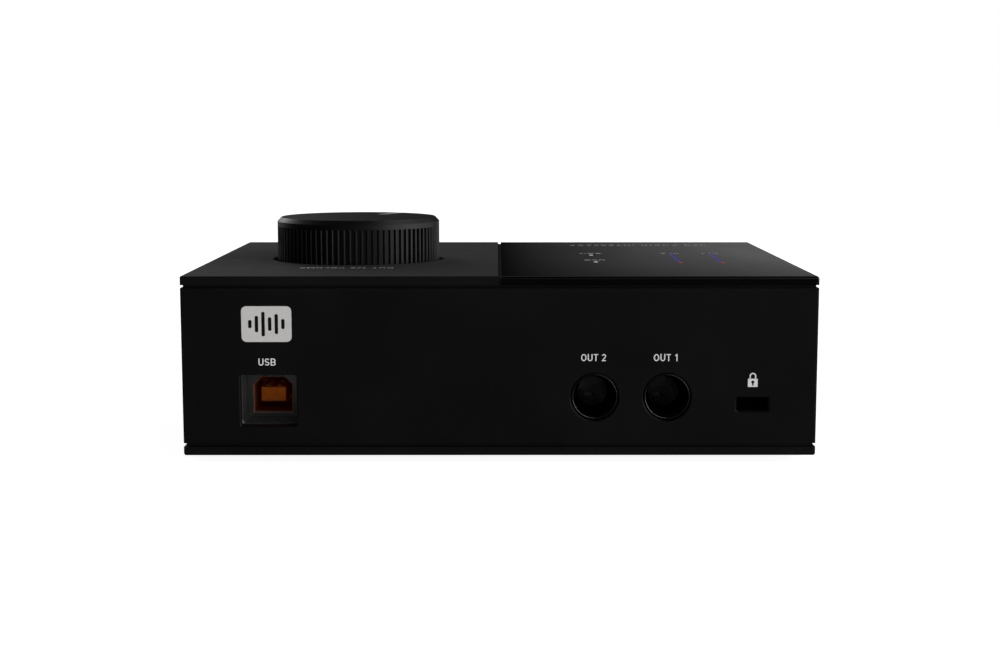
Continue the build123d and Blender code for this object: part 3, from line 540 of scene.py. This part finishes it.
def knob_scale(name):
    """Ring of dots round a small knob, one for each of its marked turns in degrees from the top."""
    x, _, z = middle(name + "_knob")
    outlines = []
    for turn in SCALE_TURNS:
        angle = math.radians(90 - turn)
        dot = (SCALE_RADIUS * math.cos(angle), SCALE_RADIUS * math.sin(angle))
        outlines.append(arc(*dot, SCALE_DOT, 0, 330, 11))
    emblem(name + "_scale", outlines, (x, FRONT_Y, z), ON_FRONT, LABEL_INK)


def label_under(part, drop, name, text, width, cap):
    """A label on the front, centred below the middle of a part, its width in millimetres."""
    x, _, z = middle(part)
    words(name, text, width * MM, cap, (x, FRONT_Y, z - drop), ON_FRONT, LABEL_INK)


def front_prints():
    """Dot scales and labels of the controls and sockets."""
    # name, text, width in millimetres
    knobs = (
        ("gain_1", "GAIN", 5.2),
        ("gain_2", "GAIN", 5.2),
        ("mix", "MIX", 3.8),
        ("phones", "PHONES", 7.4),
    )
    buttons = (
        ("line_1", "LINE/INST", 8.0),
        ("line_2", "LINE/INST", 8.0),
        ("phantom", "48V", 3.6),
        ("mono", "MONO", 5.4),
    )
    for name, _, _ in knobs:
        knob_scale(name)
    for name, text, width in knobs:
        label_under(name + "_knob", KNOB_DROP, name + "_label", text, width, KNOB_CAP)
    for name, text, width in buttons:
        label_under(name + "_button", BUTTON_DROP, name + "_label", text, width, BUTTON_CAP)
    for number in (1, 2):
        part = f"input_{number}_socket"
        label_under(part, SOCKET_DROP, f"socket_{number}_label", str(number), 0.9, SOCKET_CAP)


rear_prints()
top_prints()
front_prints()


# ---------------------------------------------------------------- stage, camera and light


def studio_floor():
    """Large pale floor that lights itself a little, so that it stays near white with a soft shadow."""
    half = 6.0
    corners = [(-half, -half, 0), (half, -half, 0), (half, half, 0), (-half, half, 0)]
    mesh = bpy.data.meshes.new("floor")
    mesh.from_pydata(corners, [], [(0, 1, 2, 3)])
    made, tree, shader = material(
        "floor_paper", Specular_IOR_Level=0.0, Roughness=0.9, Emission_Strength=0.92
    )
    tooth = noise(tree, 300.0, 4.0)
    paper = blend_colors(tree, spread(tree, tooth, 0.0, 1.0), (0.86, 0.86, 0.86), (0.9, 0.9, 0.9))
    wire(tree, shader, Base_Color=paper, Normal=bump(tree, tooth, 0.05, 0.05 * MM))
    shader.inputs["Emission Color"].default_value = (1.0, 1.0, 1.0, 1.0)
    mesh.materials.append(made)
    floor = bpy.data.objects.new("floor", mesh)
    bpy.context.collection.objects.link(floor)
    floor.visible_glossy = False


CAMERA_PLACE = (0.52 * MM, 408.17 * MM, 75.3 * MM)
CAMERA_DOWN = 7.483  # degrees that it looks down
CAMERA_ASIDE = 0.096  # degrees that it turns away from straight ahead
CAMERA_LENS = 58.59


def camera():
    """View of the back from 0.4 m away and a little above, as in the reference view of the object."""
    data = bpy.data.cameras.new("camera")
    data.sensor_width = 36.0
    data.lens = CAMERA_LENS
    data.clip_start = 0.01
    data.clip_end = 50.0
    made = bpy.data.objects.new("camera", data)
    made.location = CAMERA_PLACE
    made.rotation_euler = (math.radians(90 - CAMERA_DOWN), 0, math.radians(180 - CAMERA_ASIDE))
    bpy.context.collection.objects.link(made)
    bpy.context.scene.camera = made


def calculate(tree, operation, first, second):
    """A maths node on two sockets or numbers."""
    made = tree.nodes.new("ShaderNodeMath")
    made.operation = operation
    for socket, value in zip(made.inputs, (first, second)):
        if isinstance(value, bpy.types.NodeSocket):
            tree.links.new(value, socket)
        else:
            socket.default_value = value
    return made.outputs["Value"]


def blend(tree, first, first_share, second, second_share):
    """Sum of two sockets, each times a number."""
    part = calculate(tree, "MULTIPLY", second, second_share)
    return calculate(tree, "ADD", calculate(tree, "MULTIPLY", first, first_share), part)


def product(tree, first, *others):
    """Product of sockets and numbers."""
    for other in others:
        first = calculate(tree, "MULTIPLY", first, other)
    return first


def ramp(tree, value, zero, one, kind="SMOOTHSTEP"):
    """Rises from 0 to 1 between two values, or falls if the first is the greater."""
    made = node(tree, "ShaderNodeMapRange", Value=value)
    made.interpolation_type = kind
    made.inputs["From Min"].default_value = zero
    made.inputs["From Max"].default_value = one
    return made.outputs["Result"]


def lamp_glow(tree, x, y, z, lamp):
    """Light of one soft lamp: a window in azimuth and one in elevation, each with soft edges, in degrees.
    Azimuth 0 is straight behind the object as the camera sees it, and 90 is to the image's right."""
    centre, half, side_soft, low, low_soft, high, high_soft, bright = lamp
    a = math.radians(centre)
    ahead = blend(tree, x, -math.sin(a), y, -math.cos(a))
    aside = blend(tree, x, -math.cos(a), y, math.sin(a))
    off = calculate(tree, "ABSOLUTE", calculate(tree, "ARCTAN2", aside, ahead), 0.0)
    across = ramp(tree, off, math.radians(half + side_soft), math.radians(half))
    above = ramp(tree, z, math.sin(math.radians(low - low_soft)), math.sin(math.radians(low)))
    below = ramp(tree, z, math.sin(math.radians(high + high_soft)), math.sin(math.radians(high)))
    return product(tree, across, above, below, bright)


# Low strip lamp behind the object. It grows brighter to the right over the first angle, ends between the
# next two, in degrees, and fades upward and at the floor between heights on a dome of radius 1.
STRIP = 0.27
STRIP_GROWS = 12.0
STRIP_ENDS = (30.0, 14.0)
STRIP_FADES = (0.1027, 0.0751)
STRIP_FLOOR = (-0.02, 0.03)
AMBIENT = 0.003

# Elevations of the lamps in degrees: lowest, its soft edge, highest, its soft edge.
BELOW = (-25.0, 5.0, -4.0, 3.0)
LOW = (0.0, 3.0, 18.0, 12.0)
RAISED = (10.0, 4.0, 22.0, 5.0)
MIDDLE = (30.0, 12.0, 50.0, 10.0)
HIGH = (50.0, 10.0, 68.0, 8.0)

# Azimuth, half width and soft edge of each lamp, its elevations, and its brightness.
LAMPS = (
    (0.0, 15.0, 15.0, *BELOW, 0.5),
    (120.0, 20.0, 20.0, *BELOW, 0.3),
    (-165.0, 10.0, 20.0, *LOW, 0.1),
    (-42.0, 8.0, 15.0, *LOW, 0.9),
    (-20.0, 6.0, 10.0, *LOW, 0.3),
    (45.0, 8.0, 15.0, *LOW, 0.3),
    (75.0, 10.0, 20.0, *LOW, 1.2),
    (110.0, 15.0, 20.0, *LOW, 1.9),
    (150.0, 15.0, 20.0, *LOW, 0.2),
    (135.0, 4.0, 5.0, *RAISED, 1.5),
    (160.0, 4.0, 8.0, *RAISED, 0.5),
    (-30.0, 5.0, 8.0, 18.0, 8.0, 38.0, 8.0, 1.5),
    (-30.0, 6.0, 10.0, *MIDDLE, 0.3),
    (40.0, 30.0, 30.0, *MIDDLE, 0.15),
    (120.0, 30.0, 30.0, *MIDDLE, 0.3),
    (115.0, 12.0, 15.0, *MIDDLE, 0.5),
    (60.0, 12.0, 12.0, *HIGH, 0.4),
    (90.0, 20.0, 25.0, *HIGH, 0.5),
    (0.0, 20.0, 30.0, *HIGH, 0.2),
)


def strip_glow(tree, x, y, z):
    """Light of the low strip lamp."""
    turn = calculate(tree, "ARCTAN2", product(tree, x, -1.0), product(tree, y, -1.0))
    along = ramp(tree, turn, 0.0, math.radians(STRIP_GROWS), "LINEAR")
    end = ramp(tree, turn, math.radians(STRIP_ENDS[0]), math.radians(STRIP_ENDS[1]))
    fade = ramp(tree, z, *STRIP_FADES, "LINEAR")
    floor_edge = ramp(tree, z, *STRIP_FLOOR)
    return product(tree, along, end, fade, floor_edge, STRIP)


def dome():
    """Dim studio dome with soft lamps in it. The camera itself sees plain white beyond the floor."""
    world = bpy.data.worlds.new("studio")
    world.use_nodes = True
    bpy.context.scene.world = world
    tree = world.node_tree
    tree.nodes.clear()
    direction = tree.nodes.new("ShaderNodeTexCoord").outputs["Generated"]
    split = node(tree, "ShaderNodeSeparateXYZ", Vector=direction)
    x, y, z = (split.outputs[axis] for axis in "XYZ")
    total = strip_glow(tree, x, y, z)
    for lamp in LAMPS:
        total = calculate(tree, "ADD", total, lamp_glow(tree, x, y, z, lamp))
    total = calculate(tree, "ADD", total, AMBIENT)
    studio = node(tree, "ShaderNodeBackground", Strength=total)
    studio.inputs["Color"].default_value = (1, 1, 1, 1)
    white = node(tree, "ShaderNodeBackground", Strength=1.0)
    white.inputs["Color"].default_value = (1, 1, 1, 1)
    choice = tree.nodes.new("ShaderNodeMixShader")
    tree.links.new(tree.nodes.new("ShaderNodeLightPath").outputs["Is Camera Ray"], choice.inputs[0])
    tree.links.new(studio.outputs[0], choice.inputs[1])
    tree.links.new(white.outputs[0], choice.inputs[2])
    tree.links.new(choice.outputs[0], tree.nodes.new("ShaderNodeOutputWorld").inputs["Surface"])


studio_floor()
camera()
dome()
bpy.context.scene.view_settings.view_transform = "Standard"
